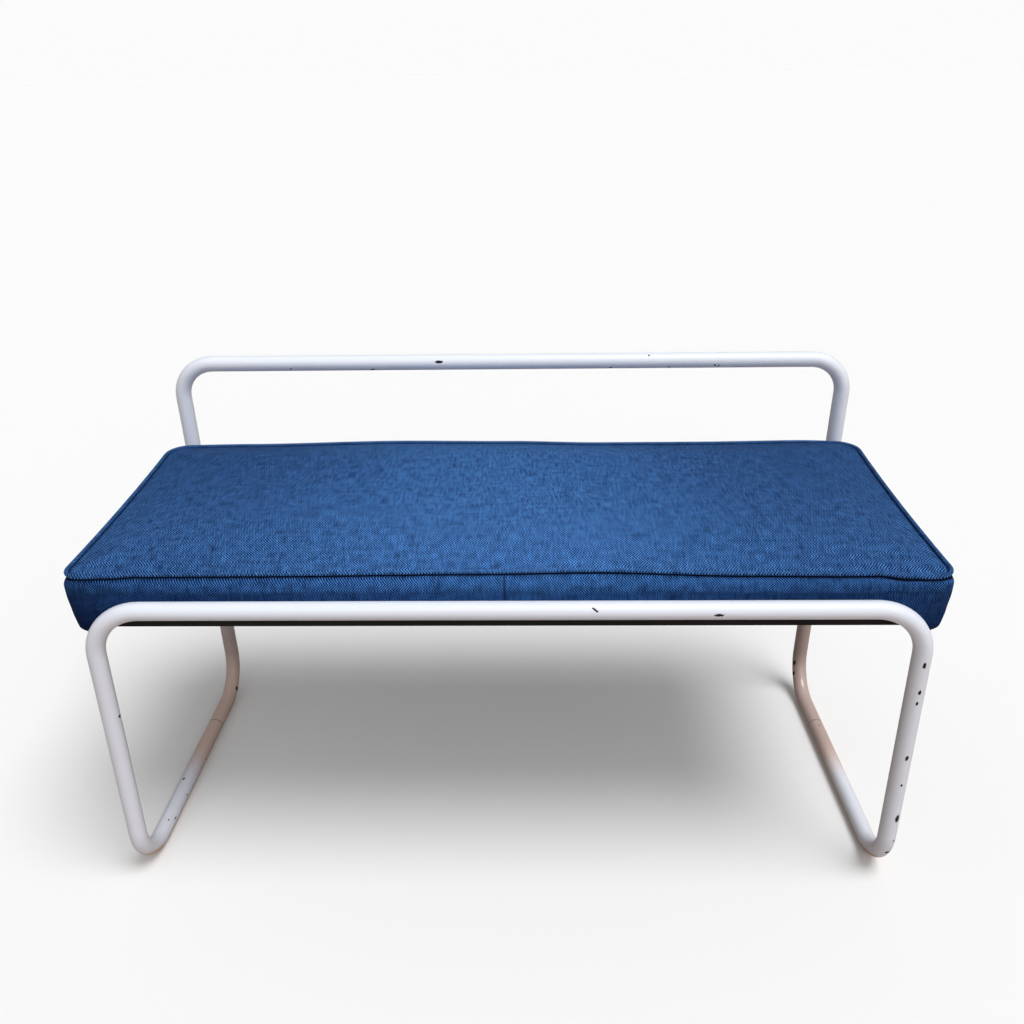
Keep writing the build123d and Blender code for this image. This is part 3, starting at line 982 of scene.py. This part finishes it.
basePanel = panelOf(shell, 2)
for vert in basePanel.verts:  # its front edge is turned in behind the boxing
    vert.co.y = max(vert.co.y, cushion["baseFront"])
cushionBase = finishPanel(basePanel, "cushion_base", "black_lining", "cover_base_panel")
print("cushion panels made")

# Piping: one cord in the cloth, right round the top seam, cut on the slant
piping = {"radius": 0.0025, "outward": 0.0020, "lift": 0.0004, "sides": 14, "steps": 560}


def pipingRoute():
    s, p = cushion, piping
    halfY = halfDepth()
    total = 2 * (s["halfLength"] + halfY)
    points = []
    for number in range(p["steps"]):
        reach = (number / p["steps"] * 2 * total + s["halfLength"]) % (2 * total)
        if reach < 2 * s["halfLength"]:
            gx, gy = reach / s["halfLength"] - 1, -1
        elif reach < total:
            gx, gy = 1, (reach - 2 * s["halfLength"]) / halfY - 1
        elif reach < total + 2 * s["halfLength"]:
            gx, gy = 1 - (reach - total) / s["halfLength"], 1
        else:
            gx, gy = -1, 1 - (reach - total - 2 * s["halfLength"]) / halfY
        rim = planPoint(gx, gy, 0)
        point = planPoint(gx, gy, -p["outward"])
        point.z = seamHeight(rim) + p["lift"]
        points.append(point)
    return points


def makePiping():
    p = piping
    points = pipingRoute()
    bm = bmesh.new()
    cloth = bm.verts.layers.float_vector.new("cloth")
    rings = []
    travelled = [0.0]
    for here, after in zip(points, points[1:] + points[:1]):
        travelled.append(travelled[-1] + (after - here).length)
    for number, point in enumerate(points):
        ahead = points[(number + 1) % len(points)] - points[number - 1]
        turned = ahead.to_track_quat("Z", "Y").to_matrix().to_4x4()
        made = bmesh.ops.create_circle(bm, segments=p["sides"], radius=p["radius"],
                                       matrix=Matrix.Translation(point) @ turned)["verts"]
        u = min(travelled[number], travelled[-1] - travelled[number])
        for vert in made:
            side = turned.inverted() @ (vert.co - point)
            v = abs(math.atan2(side.y, side.x)) * p["radius"]
            vert[cloth] = Vector((u, v, 1))
        rings.append(edgesOf(made))
    for here, after in zip(rings, rings[1:] + rings[:1]):
        bmesh.ops.bridge_loops(bm, edges=here + after)
    bmesh.ops.recalc_face_normals(bm, faces=bm.faces)
    piece = newObject(bm, "cushion_piping")
    piece.data.materials.append(materials["piping_herringbone"])
    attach(piece, "root")
    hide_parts("cover_piping")


makePiping()
print("piping made")

# Zip in the boxing's rear: tape, coil teeth, slider and pull
zipSettings = {
    "halfLength": 0.280,
    "low": 0.4142,
    "high": 0.4383,
    "proud": 0.0006,
    "tapeThickness": 0.0008,
    "columns": 140,
    "rows": 6,
    "toothMargin": 0.006,
    "toothPitch": 0.0035,
    "toothSize": (0.0016, 0.0014, 0.0052),
    "toothProud": 0.0005,
    "toothLean": 12,
    "toothBevel": 0.0004,
    "sliderPlace": 0.268,
    "sliderSize": (0.010, 0.0030, 0.012),
    "sliderProud": 0.0012,
    "sliderTaper": 0.66,
    "sliderBevel": 0.0010,
    "bridgeSize": (0.0024, 0.0018, 0.0072),
    "bridgeProud": 0.0018,
    "bridgeBevel": 0.0005,
    "pullSize": (0.0060, 0.0012, 0.022),
    "pullProud": 0.0022,
    "pullDrop": 0.001,
    "pullHole": 0.0032,
    "pullHoleDrop": 0.0032,
    "pullSides": 24,
}
backOfCushion = BVHTree.FromBMesh(shell)


def onBack(x, z, proud):
    hit = backOfCushion.ray_cast(Vector((x, 0.4, z)), Vector((0, -1, 0)))[0]
    return Vector((x, hit.y + proud, z))


def easedBlock(bm, place, size, bevel, segments, taper=1):
    matrix = place @ Matrix.Diagonal((*size, 1))
    made = bmesh.ops.create_cube(bm, size=1, matrix=matrix)["verts"]
    for vert in made:
        if taper != 1 and vert.co.z < 0:
            vert.co.x *= taper
    bmesh.ops.bevel(bm, geom=edgesOf(made), offset=bevel, segments=segments, profile=0.5,
                    affect="EDGES", material=-1)


def makeZip():
    s = zipSettings
    middle = (s["low"] + s["high"]) / 2
    bm = bmesh.new()
    bmesh.ops.create_grid(bm, x_segments=s["columns"], y_segments=s["rows"], size=1)
    cloth = bm.verts.layers.float_vector.new("cloth")
    for vert in bm.verts:
        across = vert.co.y * (s["high"] - s["low"]) / 2
        vert[cloth] = Vector((vert.co.x * s["halfLength"], across, 0))
        vert.co = onBack(vert.co.x * s["halfLength"], middle + across, s["proud"])
    bmesh.ops.recalc_face_normals(bm, faces=bm.faces)
    bm.normal_update()
    if bm.faces[:][0].normal.y < 0:
        bmesh.ops.reverse_faces(bm, faces=bm.faces)
    tape = newObject(bm, "cushion_zip_tape")
    wall = tape.modifiers.new("thickness", "SOLIDIFY")
    wall.thickness = s["tapeThickness"]
    wall.offset = -1
    tape.data.materials.append(materials["zip_tape"])
    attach(tape, "root")
    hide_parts("zip_tape")

    bm = bmesh.new()
    count = int(2 * (s["halfLength"] - s["toothMargin"]) / s["toothPitch"])
    for number in range(count):
        x = (number - (count - 1) / 2) * s["toothPitch"]
        place = Matrix.Translation(onBack(x, middle, s["proud"] + s["toothProud"]))
        angle = s["toothLean"] if number % 2 else -s["toothLean"]
        lean = Matrix.Rotation(math.radians(angle), 4, "Y")
        easedBlock(bm, place @ lean, s["toothSize"], s["toothBevel"], 1)
    teeth = newObject(bm, "cushion_zip_teeth")
    teeth.data.materials.append(materials["zip_tape"])
    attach(teeth, "root")

    bm = bmesh.new()
    place = onBack(s["sliderPlace"], middle, s["proud"] + s["sliderProud"])
    easedBlock(bm, Matrix.Identity(4), s["sliderSize"], s["sliderBevel"], 3, s["sliderTaper"])
    bmesh.ops.translate(bm, verts=bm.verts, vec=place)
    bridge = Matrix.Translation(place + Vector((0, s["bridgeProud"], 0)))
    easedBlock(bm, bridge, s["bridgeSize"], s["bridgeBevel"], 2)
    width, thickness, height = s["pullSize"]
    pull = bmesh.new()
    facing = Matrix.Rotation(math.pi / 2, 4, "X")
    bmesh.ops.create_circle(pull, segments=s["pullSides"], radius=width / 2, matrix=facing)
    for vert in pull.verts:
        vert.co.z += math.copysign((height - width) / 2, vert.co.z)
    hole = Matrix.Translation((0, 0, height / 2 - s["pullHoleDrop"])) @ facing
    bmesh.ops.create_circle(pull, segments=s["pullSides"], radius=s["pullHole"] / 2, matrix=hole)
    bmesh.ops.bridge_loops(pull, edges=pull.edges[:])
    bmesh.ops.solidify(pull, geom=pull.faces[:], thickness=thickness)
    hang = place + Vector((0, s["pullProud"], -height / 2 - s["pullDrop"]))
    bmesh.ops.translate(pull, verts=pull.verts, vec=hang)
    pulled = bpy.data.meshes.new("pull")
    pull.to_mesh(pulled)
    pull.free()
    bm.from_mesh(pulled)
    bmesh.ops.recalc_face_normals(bm, faces=bm.faces)
    slider = newObject(bm, "cushion_zip_slider")
    slider.data.materials.append(materials["zip_metal"])
    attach(slider, "root")
    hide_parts("zip_slider")


makeZip()
shell.free()
print("zip made")
